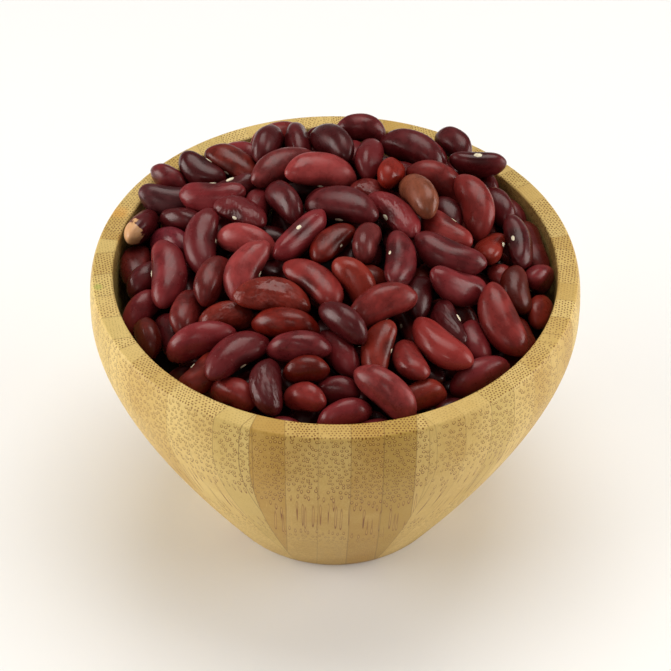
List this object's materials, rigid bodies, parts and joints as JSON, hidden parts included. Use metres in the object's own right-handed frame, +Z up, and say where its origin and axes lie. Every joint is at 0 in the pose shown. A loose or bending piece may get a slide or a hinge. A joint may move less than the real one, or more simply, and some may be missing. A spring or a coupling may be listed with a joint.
{
  "type": "bowl of dried beans",
  "caption": "Round bamboo bowl with a flat foot and rim, heaped above the rim with glossy dark-red kidney beans.",
  "frame": {"origin": "centre of the bowl's flat foot, on the surface it stands on", "axes": "+Z up along the bowl's axis, +Y towards the back of the heap, which is its highest side, +X to the right"},
  "size_m": [0.121, 0.121, 0.0924],
  "materials": {
    "bamboo": "satin clear lacquer over laminated bamboo strips",
    "bean_skin": null
  },
  "bodies": {
    "root": {"bowl": "bamboo", "beans": "bean_skin"}
  },
  "joints": []
}
